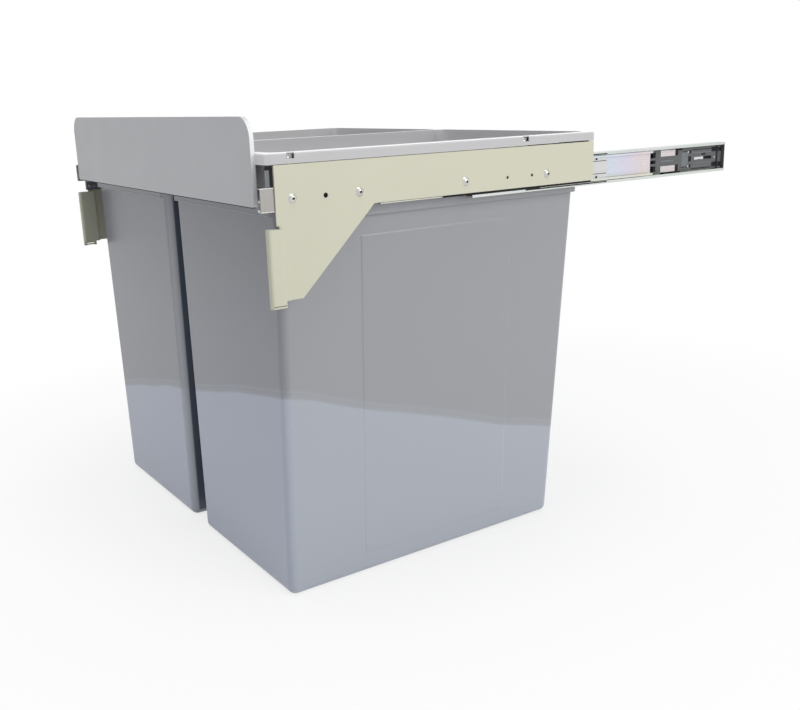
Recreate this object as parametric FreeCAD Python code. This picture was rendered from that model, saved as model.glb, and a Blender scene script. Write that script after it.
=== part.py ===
"""Pull-out twin waste-bin carriage for a kitchen base cabinet.

Two tapered bins hang in a folded sheet-steel top frame.  A cream side plate stands below each side
of the frame and is screwed to the drawer member of a three-member ball slide.  The cabinet members
of the slides are fixed in the cabinet.  Lengths are in millimetres.

The model is worked out in carriage coordinates and moved to the row's origin when it is written:
X = 0 is the middle of the unit, Y = 0 the front edge of the side plates, Z = 0 their top edge.
"""
import FreeCAD, Part
import math
import os

V = FreeCAD.Vector
OVER = 1.0                    # how far a cutter runs past the face it cuts
EDGE_TOLERANCE = 0.01         # for finding edges by their height

# ---------------------------------------------------------------- driving dimensions
UNIT_WIDTH = 560.0            # over the outer faces of the two side plates
FRAME_DEPTH = 398.0           # front edge of the side plates to the rear of the frame
FRAME_TOP = 10.5              # height of the frame's top face above the side plates

PLATE_SHEET = 1.5             # cream side plates and door pockets
PLATE_HEIGHT = 42.5           # upper band of a side plate
GUSSET_DEPTH = 123.2          # lowest edge of a side plate, below its top edge
GUSSET_START = 105.8          # where the slanted edge leaves the upper band
GUSSET_END = 23.2             # where the slanted edge meets the lowest edge
PLATE_FLANGE = 5.8            # width of the inward flange along a plate's top edge

FRAME_SHEET = 1.2             # top frame and front panel
FRAME_FRONT = -8.2            # front face of the frame, against the back of the front panel
FRAME_CORNER = 6.0            # front corners of the frame, seen from above
SKIRT_GAP = 0.5               # open seam between the skirt and the side plate
SKIRT_BEND = 2.0              # outside radius of the folded top edges
SKIRT_RETURN = 6.3            # width of the flange folded in along the skirt's lower edge
FRONT_WALL_DEPTH = 34.0       # how far the frame's front wall reaches down behind the panel
FRONT_WALL_INSET = 2.0        # front wall's ends, in from the panel's ends
FRONT_LEDGE = 3.1             # width of the ledge in front of a bin
DIVIDER_WIDTH = 8.0           # strip between the two openings
OPENING_MARGIN = 10.5         # opening's outer edge, in from the skirt's outer face
OPENING_FRONT = 4.0           # front edge of both openings
OPENING_BACK_MARGIN = 2.0     # strip behind both openings
OPENING_CORNER = 12.0
LEDGE_DEPTH = 9.0             # top of the ledge that carries the bins, below the plates' top edge
LEDGE_WIDTH = 5.3
LEDGE_LIP = 13.0              # lip folded down along the inside of the ledge
NOTCH_WIDTH = 8.0             # assembly notches in the skirt's top edge
NOTCH_HEIGHT = 5.6
NOTCH_PLACES = (18.0, FRAME_DEPTH - 99.0)
RIVET_PLACES = (18.0, 158.0, FRAME_DEPTH - 99.0, FRAME_DEPTH - 18.0)
RIVET_SHANK = 2.4
RIVET_HEAD = 4.6
RIVET_TAIL = 4.1
RIVET_HEAD_HEIGHT = 2.8
RIVET_TAIL_HEIGHT = 0.8

PANEL_HALF_WIDTH = 261.4
PANEL_TOP = 42.7
PANEL_BOTTOM = -37.8
PANEL_DEPTH = 4.2             # depth of the folded edge all round the front panel
PANEL_CORNER = 20.0           # upper corners
PANEL_LOW_CORNER = 3.0
PANEL_SCREW_INSET = 21.4      # outer screws to the sides of the panel
PANEL_SCREW_HEIGHT = -18.0
PANEL_SCREW_COUNT = 4
PANEL_BOSS = 9.0
PANEL_SCREW_TIP = 0.4         # screw tip to the bottom of its boss
THREAD_PLAY = 0.1

POCKET_TOP = -56.6            # door pockets at the front edges of the side plates
POCKET_LENGTH = 72.7
POCKET_FRONT = -11.0
POCKET_BACK = 5.8
POCKET_GAP = 4.6              # clear slot that takes the door bracket's tongue
POCKET_PROUD = 3.0            # outer leg stands this far outside the plate
POCKET_INNER_SHORT = 5.3      # inner leg ends this much higher than the outer leg
POCKET_BEND = 3.6             # outside radius of the pocket's corners
POCKET_TIP_RADIUS = 2.5       # top front corner of the outer leg
POCKET_LAP = 2.6              # inner leg laps over the plate before its rolled edge
POCKET_SLIT = 1.0             # height of the slit across the foot of the outer leg
POCKET_SLIT_PLACE = 1.6       # slit's lower edge, above the foot
RELIEF_NOTCH = 2.4            # bend relief at the top of a pocket

SLIDE_LENGTH = 400.0
SLIDE_HEIGHT = 35.0
SLIDE_AXIS = -30.5            # height of the slides' centre line
SLIDE_EXTENSION = 238.0       # how far the carriage stands pulled out
DRAWER_MEMBER_FRONT = -10.5
OUTER_SHEET = 1.2
MIDDLE_SHEET = 0.9
DRAWER_SHEET = 1.2
OUTER_BALL = 2.4              # ball diameters
INNER_BALL = 1.95
BALL_PLAY = 0.05              # play between a ball and each track
SLIDE_GAP = 0.3               # cabinet member to the frame's ledge lip
SLIDE_DEPTH = 12.1            # cabinet member, web to open edge
MIDDLE_LENGTH = 384.0
MIDDLE_SETBACK = 6.5          # middle member behind the drawer member's front when closed
MIDDLE_WEB = 6.2              # middle member's web, from the back of the cabinet member's web
MIDDLE_FLANGE = 5.2
DRAWER_FLANGE = 4.5
LIP_SHEET = 1.0               # lips that keep the balls in the cabinet member
LIP_HEIGHT = 1.9
MIDDLE_LIP_SHEET = 0.8
MIDDLE_LIP_HEIGHT = 1.5
CAGE_SHEET = 0.5
CAGE_GAP = 0.3                # inner cage to the middle member's web and lips
CAGE_STANDOFF = 2.7           # outer cage stands clear of screw heads on the cabinet member
OUTER_CAGE_GAP = 0.5          # outer cage to the cabinet member's lips
INNER_CAGE_LENGTH = 260.0
INNER_CAGE_SETBACK = 118.0    # behind the drawer member's front when closed
OUTER_CAGE_LENGTH = 160.0
OUTER_CAGE_SETBACK = 106.0
BALL_PITCH = 20.0
BALL_END = 10.0               # first ball to the end of its cage

HOUSING_LENGTH = 119.0        # soft-close unit in the rear of the cabinet member
HOUSING_THICK = 4.6
HOUSING_TEETH = 9.0           # small teeth in front of the first bar
TOOTH_PLACE = 2.0             # inner edge of a middle tooth, from the centre line
TOOTH_HEIGHT = 2.8
HOUSING_BAR = 8.5             # first bar
HOUSING_WINDOW = 26.5         # two windows between the bars
HOUSING_REAR_BAR = 9.0
HOUSING_SPINE = 11.0          # height of the middle bar between the windows
HOUSING_BODY = 28.0           # height of the closed rear part
HOUSING_PLAY = 0.4            # housing to the cabinet member's flanges
CATCH_SLOT_START = 78.0       # front of the catch's slot, behind the housing's front
CATCH_TRAVEL = 15.0
CATCH_LENGTH = 17.0
CATCH_HEIGHT = 3.2
CATCH_THICK = 2.4
CATCH_MOUTH = 4.0             # gap between its cheeks
CATCH_GAP = 0.35              # catch in its slot
PIN_DIAMETER = 2.4            # pins that hold the housing's mechanism
PIN_PROUD = 0.1
PIN_PLACES = ((67.0, 8.3), (67.0, -8.6), (116.0, -0.4))
STOP_GAP = 1.0                # housing to the end stop
STOP_LENGTH = 6.5             # end stop at the rear of the cabinet member
STOP_DEPTH = 6.5

PLATE_SCREW_PLACES = (17.5, 89.5, 217.0, 328.0)
SPARE_HOLE_PLACES = (52.5, 273.0, 307.0)
SPARE_HOLE_DIAMETERS = (5.0, 3.3, 3.3)
SCREW_HEAD = 9.0              # domed heads of the plate screws
SCREW_HEAD_HEIGHT = 2.6
SCREW_SHANK = 4.0
SCREW_PLAY = 0.2              # hole radius over shank radius
SCREW_RECESS = 2.6            # width of the hexagonal recess
SCREW_RECESS_DEPTH = 1.6
PLATE_SCREW_LENGTH = 4.9

RAIL_HOLE_DIAMETER = 4.5      # fixing holes in the cabinet members
RAIL_HOLE_FIRST = 37.0
RAIL_HOLE_SPACING = 192.0
RAIL_HOLE_COUNT = 2

BIN_DEPTH = 447.5             # underside of the bins, below the plates' top edge
BIN_WALL = 2.2
BIN_FLOOR = 3.0
BIN_CORNER = 9.0
BIN_FLOOR_RADIUS = 8.0
BIN_SIDE_DRAFT = 20.7         # how much each wall leans in from the rim to the floor
BIN_INNER_DRAFT = 4.2
BIN_BACK_DRAFT = 22.3
COLLAR_PROUD = 4.0            # turned-down collar around the body, at the front
COLLAR_PROUD_INNER = 3.7
COLLAR_PROUD_SLOPED = 2.3     # at the sloping walls, measured at the rim
COLLAR_WALL = 1.7
COLLAR_PLAY = 0.5             # to the lip below the ledge on the divider side
COLLAR_SIDE_PLAY = 1.7        # to the lip below the ledge on the slide side
COLLAR_FRONT_BOTTOM = -48.5
COLLAR_SIDE_BOTTOM = -55.5
COLLAR_STEP = 60.0            # where the rim becomes deeper
RIM_PLAY = 0.4                # rim in the frame's opening
RIM_THICK = 2.5
RIM_LIFT = 0.3                # rim above the ledge

# ---------------------------------------------------------------- derived places
HALF = UNIT_WIDTH / 2
PLATE_IN = HALF - PLATE_SHEET                       # inner face of a side plate
WEB_OUT = PLATE_IN - DRAWER_SHEET                   # drawer member's web lies on the plate
LEDGE_IN = HALF - OPENING_MARGIN - LEDGE_WIDTH      # inner edge of the ledge, slide side
OPEN_OUT = HALF - OPENING_MARGIN                    # opening's edge, slide side
OPEN_IN = DIVIDER_WIDTH / 2                         # opening's edge, divider side
OPEN_BACK = FRAME_DEPTH - OPENING_BACK_MARGIN
LEDGE_TOP = -LEDGE_DEPTH
RAIL_BACK = LEDGE_IN + FRAME_SHEET + SLIDE_GAP      # inner face of the cabinet member's web
RAIL_OPEN = RAIL_BACK + SLIDE_DEPTH
RAIL_FRONT = DRAWER_MEMBER_FRONT + SLIDE_EXTENSION
RAIL_REAR = RAIL_FRONT + SLIDE_LENGTH
MIDDLE_FRONT = DRAWER_MEMBER_FRONT + MIDDLE_SETBACK + SLIDE_EXTENSION / 2
MIDDLE_REAR = MIDDLE_FRONT + MIDDLE_LENGTH
TRACK_OUT = SLIDE_HEIGHT / 2 - OUTER_SHEET          # cabinet member's ball track
MIDDLE_OUT = TRACK_OUT - OUTER_BALL - 2 * BALL_PLAY
MIDDLE_IN = MIDDLE_OUT - MIDDLE_SHEET
DRAWER_OUT = MIDDLE_IN - INNER_BALL - 2 * BALL_PLAY
MIDDLE_BACK = RAIL_BACK + MIDDLE_WEB                # inner face of the middle member's web
HOUSING_FRONT = RAIL_REAR - STOP_LENGTH - STOP_GAP - HOUSING_LENGTH
HOUSING_X = RAIL_BACK + OUTER_SHEET
COLLAR_OUT = LEDGE_IN - COLLAR_SIDE_PLAY            # outer face of a bin's collar, slide side
COLLAR_IN = OPEN_IN + LEDGE_WIDTH + COLLAR_PLAY     # outer face of a bin's collar, divider side
COLLAR_BACK = OPEN_BACK - RIM_PLAY
COLLAR_FRONT = OPENING_FRONT + RIM_PLAY + FRONT_LEDGE
RIM_BOTTOM = LEDGE_TOP + RIM_LIFT
RIM_TOP = RIM_BOTTOM + RIM_THICK

PANEL_FRONT = FRAME_FRONT - PANEL_DEPTH
RIVET_X = HALF - FRAME_SHEET - SKIRT_RETURN / 2
PANEL_SCREW_PLACES = [(PANEL_HALF_WIDTH - PANEL_SCREW_INSET) * (2 * i / (PANEL_SCREW_COUNT - 1) - 1)
                      for i in range(PANEL_SCREW_COUNT)]
# the row's origin: midway between the fixing holes of the two cabinet members
ORIGIN = V(0, RAIL_FRONT + RAIL_HOLE_FIRST + RAIL_HOLE_SPACING * (RAIL_HOLE_COUNT - 1) / 2, SLIDE_AXIS)


# ---------------------------------------------------------------- small helpers
def box(x0, x1, y0, y1, z0, z1):
    """Block between two corners, in any order."""
    return Part.makeBox(abs(x1 - x0), abs(y1 - y0), abs(z1 - z0),
                        V(min(x0, x1), min(y0, y1), min(z0, z1)))


def fuse(shapes):
    """One solid from touching solids, with the seams taken out."""
    first = shapes[0]
    return first.fuse(shapes[1:]).removeSplitter() if len(shapes) > 1 else first


def cylinder_x(x0, x1, y, z, diameter):
    """Round bar along X."""
    return Part.makeCylinder(diameter / 2, abs(x1 - x0), V(min(x0, x1), y, z), V(1, 0, 0))


def cylinder_y(y0, y1, x, z, diameter):
    """Round bar along Y."""
    return Part.makeCylinder(diameter / 2, abs(y1 - y0), V(x, min(y0, y1), z), V(0, 1, 0))


def cylinder_z(z0, z1, x, y, diameter):
    """Round bar along Z."""
    return Part.makeCylinder(diameter / 2, abs(z1 - z0), V(x, y, min(z0, z1)), V(0, 0, 1))


def prism(points, along):
    """Straight extrusion of a closed outline."""
    wire = Part.makePolygon([V(*p) for p in points] + [V(*points[0])])
    return Part.Face(wire).extrude(V(*along))


def rounded_wire(x0, x1, y0, y1, z, radius):
    """Rectangle with round corners, lying flat at height z."""
    corners = ((x1, y1, 0), (x0, y1, 90), (x0, y0, 180), (x1, y0, 270))
    edges = []
    last = None
    first = None
    for x, y, start in corners:
        cx = x - radius if x == x1 else x + radius
        cy = y - radius if y == y1 else y + radius
        points = [V(cx + radius * math.cos(math.radians(start + a)),
                    cy + radius * math.sin(math.radians(start + a)), z) for a in (0, 45, 90)]
        if last is not None:
            edges.append(Part.LineSegment(last, points[0]).toShape())
        edges.append(Part.Arc(*points).toShape())
        first = first or points[0]
        last = points[2]
    edges.append(Part.LineSegment(last, first).toShape())
    return Part.Wire(edges)


def rounded_block(x0, x1, y0, y1, z0, z1, radius):
    """Block with round upright corners."""
    return Part.Face(rounded_wire(x0, x1, y0, y1, z0, radius)).extrude(V(0, 0, z1 - z0))


def mirrored(shape):
    """The left-hand copy of a right-hand piece."""
    return shape.mirror(V(0, 0, 0), V(1, 0, 0))


def group(solids):
    """Separate solids that share one node."""
    return Part.makeCompound(solids)


# ---------------------------------------------------------------- top frame and front panel
def front_upright_edges(block):
    """The two upright edges at the front of a block."""
    front = block.BoundBox.YMin + EDGE_TOLERANCE
    return [e for e in block.Edges if e.BoundBox.YMax < front and e.BoundBox.XLength < EDGE_TOLERANCE]


def top_frame():
    """Folded frame: skirt, top, two openings with sunk ledges, divider and front wall."""
    low = SKIRT_GAP
    outer = box(-HALF, HALF, FRAME_FRONT, FRAME_DEPTH, low, FRAME_TOP)
    hollow = box(-HALF + FRAME_SHEET, HALF - FRAME_SHEET, FRAME_FRONT + FRAME_SHEET,
                 FRAME_DEPTH - FRAME_SHEET, low, FRAME_TOP - FRAME_SHEET)
    outer = outer.makeFillet(FRAME_CORNER, front_upright_edges(outer))
    hollow = hollow.makeFillet(FRAME_CORNER - FRAME_SHEET, front_upright_edges(hollow))
    rims = [e for e in outer.Edges if e.BoundBox.ZMin > FRAME_TOP - EDGE_TOLERANCE]
    outer = outer.makeFillet(SKIRT_BEND, rims)
    frame = outer.cut(hollow)
    returns = [box(side * (HALF - FRAME_SHEET), side * (HALF - FRAME_SHEET - SKIRT_RETURN),
                   0, FRAME_DEPTH - FRAME_SHEET, low, low + FRAME_SHEET) for side in (-1, 1)]
    front_half = PANEL_HALF_WIDTH - FRONT_WALL_INSET
    wall = box(-front_half, front_half, FRAME_FRONT, FRAME_FRONT + FRAME_SHEET, -FRONT_WALL_DEPTH, low)
    frame = fuse([frame, wall] + returns)
    cups = []
    cuts = []
    for side in (-1, 1):
        near, far = sorted((side * OPEN_IN, side * OPEN_OUT))
        s = FRAME_SHEET
        cups.append(rounded_block(near - s, far + s, OPENING_FRONT - s, OPEN_BACK + s,
                                  LEDGE_TOP - s, FRAME_TOP - s, OPENING_CORNER + s))
        cuts.append(rounded_block(near, far, OPENING_FRONT, OPEN_BACK,
                                  LEDGE_TOP, FRAME_TOP, OPENING_CORNER))
        inner_near, inner_far = near + LEDGE_WIDTH, far - LEDGE_WIDTH
        lip_front, lip_back = COLLAR_FRONT - RIM_PLAY, OPEN_BACK
        lip_low = LEDGE_TOP - LEDGE_LIP
        cups.append(rounded_block(inner_near - s, inner_far + s, lip_front - s, lip_back + s,
                                  lip_low, LEDGE_TOP - s, OPENING_CORNER))
        cuts.append(rounded_block(inner_near, inner_far, lip_front, lip_back,
                                  lip_low, LEDGE_TOP, OPENING_CORNER - s))
    frame = frame.fuse(cups).removeSplitter()
    for cutter in cuts:
        frame = frame.cut(cutter)
    notches = [box(side * (HALF - FRAME_SHEET - OVER), side * (HALF + OVER), y - NOTCH_WIDTH / 2,
                   y + NOTCH_WIDTH / 2, FRAME_TOP - NOTCH_HEIGHT, FRAME_TOP + OVER)
               for side in (-1, 1) for y in NOTCH_PLACES]
    holes = [cylinder_z(low - OVER, low + FRAME_SHEET + OVER, side * RIVET_X, y,
                         RIVET_SHANK + 2 * SCREW_PLAY)
             for side in (-1, 1) for y in RIVET_PLACES]
    holes += [cylinder_y(FRAME_FRONT - OVER, FRAME_FRONT + FRAME_SHEET + OVER, x, PANEL_SCREW_HEIGHT,
                         SCREW_SHANK + 2 * SCREW_PLAY) for x in PANEL_SCREW_PLACES]
    return frame.cut(group(notches + holes))


def panel_outline(inset):
    """Outline of the front panel, in the XZ plane, moved in by inset."""
    w = PANEL_HALF_WIDTH - inset
    top, bottom = PANEL_TOP - inset, PANEL_BOTTOM + inset
    big, small = PANEL_CORNER - inset, PANEL_LOW_CORNER - inset
    corners = ((w, top, big, 0), (-w, top, big, 90), (-w, bottom, small, 180), (w, bottom, small, 270))
    edges = []
    first = last = None
    for x, z, r, start in corners:
        cx, cz = x - math.copysign(r, x), z - r if z == top else z + r
        points = [V(cx + r * math.cos(math.radians(start + a)), 0,
                    cz + r * math.sin(math.radians(start + a))) for a in (0, 45, 90)]
        if last is not None:
            edges.append(Part.LineSegment(last, points[0]).toShape())
        edges.append(Part.Arc(*points).toShape())
        first = first or points[0]
        last = points[2]
    edges.append(Part.LineSegment(last, first).toShape())
    return Part.Face(Part.Wire(edges))


def front_panel():
    """Shallow folded tray, open to the rear, with four threaded bosses."""
    tray = panel_outline(0).extrude(V(0, PANEL_DEPTH, 0))
    hollow = panel_outline(FRAME_SHEET).extrude(V(0, PANEL_DEPTH, 0))
    hollow.translate(V(0, FRAME_SHEET, 0))
    tray = tray.cut(hollow)
    bosses = [cylinder_y(FRAME_SHEET / 2, PANEL_DEPTH, x, PANEL_SCREW_HEIGHT, PANEL_BOSS)
              for x in PANEL_SCREW_PLACES]
    tray = fuse([tray] + bosses)
    bores = [cylinder_y(FRAME_SHEET, PANEL_DEPTH + OVER, x, PANEL_SCREW_HEIGHT, SCREW_SHANK + THREAD_PLAY)
             for x in PANEL_SCREW_PLACES]
    tray = tray.cut(group(bores))
    tray.translate(V(0, PANEL_FRONT, 0))
    return tray


def domed_screw(length):
    """Pan-head screw standing on z = 0 with its shank downwards and a hexagonal recess."""
    shank = Part.makeCylinder(SCREW_SHANK / 2, length, V(0, 0, -length))
    r = SCREW_HEAD / 2
    dome_radius = (r * r + SCREW_HEAD_HEIGHT ** 2) / (2 * SCREW_HEAD_HEIGHT)
    ball = Part.makeSphere(dome_radius, V(0, 0, SCREW_HEAD_HEIGHT - dome_radius))
    head = ball.common(Part.makeCylinder(r, SCREW_HEAD_HEIGHT, V(0, 0, 0)))
    flats = [V(SCREW_RECESS / math.sqrt(3) * math.cos(math.radians(60 * i)),
               SCREW_RECESS / math.sqrt(3) * math.sin(math.radians(60 * i)),
               SCREW_HEAD_HEIGHT - SCREW_RECESS_DEPTH) for i in range(7)]
    recess = Part.Face(Part.makePolygon(flats)).extrude(V(0, 0, SCREW_HEAD_HEIGHT))
    return head.fuse(shank).removeSplitter().cut(recess)


def turned(shape, axis, angle, place):
    """Copy of a shape turned about the origin and then put in place."""
    copy = shape.copy()
    copy.rotate(V(0, 0, 0), V(*axis), angle)
    copy.translate(V(*place))
    return copy


def front_panel_screws():
    """Screws through the frame's front wall into the panel's bosses."""
    screw = domed_screw(PANEL_DEPTH - PANEL_SCREW_TIP)
    return group([turned(screw, (1, 0, 0), -90, (x, FRAME_FRONT + FRAME_SHEET, PANEL_SCREW_HEIGHT))
                  for x in PANEL_SCREW_PLACES])


# ---------------------------------------------------------------- side plates and door pockets
def plate_holes(x0, x1):
    """Cutters for the screw holes and spare holes between two levels along X."""
    screws = [cylinder_x(x0 - OVER, x1 + OVER, y, SLIDE_AXIS, SCREW_SHANK + 2 * SCREW_PLAY)
              for y in PLATE_SCREW_PLACES]
    spares = [cylinder_x(x0 - OVER, x1 + OVER, y, SLIDE_AXIS, d)
              for y, d in zip(SPARE_HOLE_PLACES, SPARE_HOLE_DIAMETERS)]
    return screws + spares


def side_plate():
    """Right-hand plate: upper band, gusset, top flange and its holes."""
    outline = [(PLATE_IN, 0, 0), (PLATE_IN, FRAME_DEPTH, 0), (PLATE_IN, FRAME_DEPTH, -PLATE_HEIGHT),
               (PLATE_IN, GUSSET_START, -PLATE_HEIGHT), (PLATE_IN, GUSSET_END, -GUSSET_DEPTH),
               (PLATE_IN, POCKET_BACK, -GUSSET_DEPTH), (PLATE_IN, POCKET_BACK, POCKET_TOP),
               (PLATE_IN, RELIEF_NOTCH, POCKET_TOP), (PLATE_IN, RELIEF_NOTCH, POCKET_TOP + RELIEF_NOTCH),
               (PLATE_IN, 0, POCKET_TOP + RELIEF_NOTCH)]
    plate = prism(outline, (PLATE_SHEET, 0, 0))
    flange = box(PLATE_IN - PLATE_FLANGE, PLATE_IN, 0, FRAME_DEPTH - FRAME_SHEET, -PLATE_SHEET, 0)
    plate = fuse([plate, flange])
    cuts = plate_holes(PLATE_IN, HALF)
    cuts += [cylinder_z(-PLATE_SHEET - OVER, OVER, RIVET_X, y, RIVET_SHANK + 2 * SCREW_PLAY)
             for y in RIVET_PLACES]
    return plate.cut(group(cuts))


def door_pocket():
    """Right-hand pocket: a flattened tube welded to the plate's front edge, open above and below."""
    out_face = HALF + POCKET_PROUD
    in_face = out_face - POCKET_GAP - 2 * PLATE_SHEET
    leg_in, leg_out = in_face + PLATE_SHEET, out_face - PLATE_SHEET
    low = POCKET_TOP - POCKET_LENGTH
    inner_low = low + POCKET_INNER_SHORT
    r = POCKET_BEND
    tube = rounded_block(in_face, out_face, POCKET_FRONT, POCKET_BACK, low, POCKET_TOP, r)
    # the inner leg's rear edge is rolled over on to the inside of the plate
    rolled_at = V(PLATE_IN, POCKET_BACK + POCKET_LAP, low)
    rolled = Part.makeCylinder(PLATE_IN - in_face, POCKET_TOP - low, rolled_at, V(0, 0, 1), 90)
    rolled.rotate(rolled_at, V(0, 0, 1), 90)
    lap = box(in_face, PLATE_IN, POCKET_BACK - r, POCKET_BACK + POCKET_LAP, low, POCKET_TOP)
    tube = fuse([tube, lap, rolled])
    slot = rounded_block(leg_in, leg_out, POCKET_FRONT + PLATE_SHEET, POCKET_BACK - PLATE_SHEET,
                         low - OVER, POCKET_TOP + OVER, r - PLATE_SHEET)
    rear = POCKET_BACK + POCKET_LAP + r
    short = box(in_face - OVER, leg_in, POCKET_FRONT - OVER, rear, low - OVER, inner_low)
    behind = box(in_face - OVER, PLATE_IN, POCKET_BACK, rear, low - OVER, inner_low)
    slit_low = low + POCKET_SLIT_PLACE
    slit = box(leg_out - OVER, out_face + OVER, POCKET_FRONT + r / 2, POCKET_BACK - PLATE_SHEET,
               slit_low, slit_low + POCKET_SLIT)
    tip = POCKET_TIP_RADIUS
    tip_y, tip_z = POCKET_FRONT + tip, POCKET_TOP - tip
    square = box(leg_out, out_face + OVER, POCKET_FRONT - OVER, tip_y, tip_z, POCKET_TOP + OVER)
    square = square.cut(cylinder_x(leg_out - OVER, out_face + 2 * OVER, tip_y, tip_z, 2 * tip))
    return tube.cut(group([slot, short, behind])).cut(slit).cut(square)


def plate_screws():
    """Four pan-head screws through the right side plate into the drawer member."""
    screw = domed_screw(PLATE_SCREW_LENGTH)
    return group([turned(screw, (0, 1, 0), 90, (HALF, y, SLIDE_AXIS)) for y in PLATE_SCREW_PLACES])


def frame_rivets():
    """Rivets that join the skirt's return to the right plate's top flange."""
    top = SKIRT_GAP + FRAME_SHEET
    rivets = []
    for y in RIVET_PLACES:
        head = cylinder_z(top, top + RIVET_HEAD_HEIGHT, RIVET_X, y, RIVET_HEAD)
        head = head.makeFillet(RIVET_HEAD_HEIGHT * 0.45, [e for e in head.Edges if e.BoundBox.ZMin > top])
        shank = cylinder_z(-PLATE_SHEET, top, RIVET_X, y, RIVET_SHANK)
        tail = cylinder_z(-PLATE_SHEET - RIVET_TAIL_HEIGHT, -PLATE_SHEET, RIVET_X, y, RIVET_TAIL)
        rivets.append(fuse([head, shank, tail]))
    return group(rivets)


# ---------------------------------------------------------------- ball slides, right-hand side
def channel(x_web, x_open, sheet, half_height, y0, y1):
    """Channel along Y: web at x_web, flanges reaching to x_open on either side."""
    step = math.copysign(sheet, x_open - x_web)
    web = box(x_web, x_web + step, y0, y1, SLIDE_AXIS - half_height, SLIDE_AXIS + half_height)
    flanges = [box(x_web, x_open, y0, y1, SLIDE_AXIS + s * half_height,
                   SLIDE_AXIS + s * (half_height - sheet)) for s in (-1, 1)]
    return fuse([web] + flanges)


def track_lips(x_open, thick, half_height, lip, y0, y1):
    """Lips folded in along the open edges of a channel."""
    return [box(x_open - thick, x_open, y0, y1, SLIDE_AXIS + s * half_height,
                SLIDE_AXIS + s * (half_height - lip)) for s in (-1, 1)]


def rail_hole_places():
    """Places along Y of the cabinet member's fixing holes."""
    return [RAIL_FRONT + RAIL_HOLE_FIRST + RAIL_HOLE_SPACING * i for i in range(RAIL_HOLE_COUNT)]


def outer_member():
    """Cabinet member, its open side outwards."""
    body = channel(RAIL_BACK, RAIL_OPEN, OUTER_SHEET, SLIDE_HEIGHT / 2, RAIL_FRONT, RAIL_REAR)
    body = fuse([body] + track_lips(RAIL_OPEN, LIP_SHEET, SLIDE_HEIGHT / 2, OUTER_SHEET + LIP_HEIGHT,
                                    RAIL_FRONT, RAIL_REAR))
    holes = [cylinder_x(RAIL_BACK - OVER, HOUSING_X + OVER, y, SLIDE_AXIS, RAIL_HOLE_DIAMETER)
             for y in rail_hole_places()]
    return body.cut(group(holes))


def middle_member():
    """Intermediate member, between the two rows of balls."""
    x_open = MIDDLE_BACK + MIDDLE_FLANGE
    body = channel(MIDDLE_BACK, x_open, MIDDLE_SHEET, MIDDLE_OUT, MIDDLE_FRONT, MIDDLE_REAR)
    lips = track_lips(x_open, MIDDLE_LIP_SHEET, MIDDLE_OUT, MIDDLE_SHEET + MIDDLE_LIP_HEIGHT,
                      MIDDLE_FRONT, MIDDLE_REAR)
    return fuse([body] + lips)


def inner_member():
    """Drawer member, its web against the side plate."""
    y0, y1 = DRAWER_MEMBER_FRONT, DRAWER_MEMBER_FRONT + SLIDE_LENGTH
    body = channel(PLATE_IN, PLATE_IN - DRAWER_FLANGE, DRAWER_SHEET, DRAWER_OUT, y0, y1)
    return body.cut(group(plate_holes(WEB_OUT, PLATE_IN)))


def ball_places(y0, length):
    """Places along Y of the balls in one row."""
    count = int((length - 2 * BALL_END) // BALL_PITCH) + 1
    return [y0 + BALL_END + BALL_PITCH * i for i in range(count)]


def ball_cage(x_web, x_tip, x_ball, track_mid, ball, y0, length):
    """Ball cage: a web and two strips, drilled for the balls."""
    t = CAGE_SHEET
    half = track_mid + t / 2
    web = box(x_web, x_web + t, y0, y0 + length, SLIDE_AXIS - half, SLIDE_AXIS + half)
    strips = [box(x_web, x_tip, y0, y0 + length, SLIDE_AXIS + s * (half - t), SLIDE_AXIS + s * half)
              for s in (-1, 1)]
    cage = fuse([web] + strips)
    holes = [cylinder_z(SLIDE_AXIS + s * track_mid - t, SLIDE_AXIS + s * track_mid + t, x_ball, y,
                        ball + 2 * BALL_PLAY) for s in (-1, 1) for y in ball_places(y0, length)]
    return cage.cut(group(holes))


def balls(x_ball, track_mid, ball, y0, length):
    """The balls of one cage."""
    return group([Part.makeSphere(ball / 2, V(x_ball, y, SLIDE_AXIS + s * track_mid))
                  for s in (-1, 1) for y in ball_places(y0, length)])


def inner_row():
    """Ball row between the middle and drawer members: X of the balls, track height, ball, Y, length."""
    x_tip = MIDDLE_BACK + MIDDLE_FLANGE - MIDDLE_LIP_SHEET - CAGE_GAP
    x_ball = (MIDDLE_BACK + MIDDLE_SHEET + CAGE_GAP + CAGE_SHEET + x_tip) / 2
    y0 = DRAWER_MEMBER_FRONT + INNER_CAGE_SETBACK + SLIDE_EXTENSION / 4
    return x_ball, (MIDDLE_IN + DRAWER_OUT) / 2, INNER_BALL, y0, INNER_CAGE_LENGTH


def outer_row():
    """Ball row between the cabinet and middle members, described in the same way."""
    x_ball = MIDDLE_BACK + MIDDLE_FLANGE / 2
    y0 = DRAWER_MEMBER_FRONT + OUTER_CAGE_SETBACK + SLIDE_EXTENSION * 3 / 4
    return x_ball, (TRACK_OUT + MIDDLE_OUT) / 2, OUTER_BALL, y0, OUTER_CAGE_LENGTH


def inner_ball_cage():
    """Cage of the inner rows."""
    x_web = MIDDLE_BACK + MIDDLE_SHEET + CAGE_GAP
    return ball_cage(x_web, MIDDLE_BACK + MIDDLE_FLANGE - MIDDLE_LIP_SHEET - CAGE_GAP, *inner_row())


def outer_ball_cage():
    """Cage of the outer rows, its web clear of screw heads on the cabinet member."""
    return ball_cage(HOUSING_X + CAGE_STANDOFF, RAIL_OPEN - LIP_SHEET - OUTER_CAGE_GAP, *outer_row())


# ---------------------------------------------------------------- soft-close unit, right-hand side
def catch_bounds():
    """Front and rear of the catch at rest, at the front of its slot."""
    y0 = HOUSING_FRONT + CATCH_SLOT_START
    return y0, y0 + CATCH_LENGTH


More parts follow.
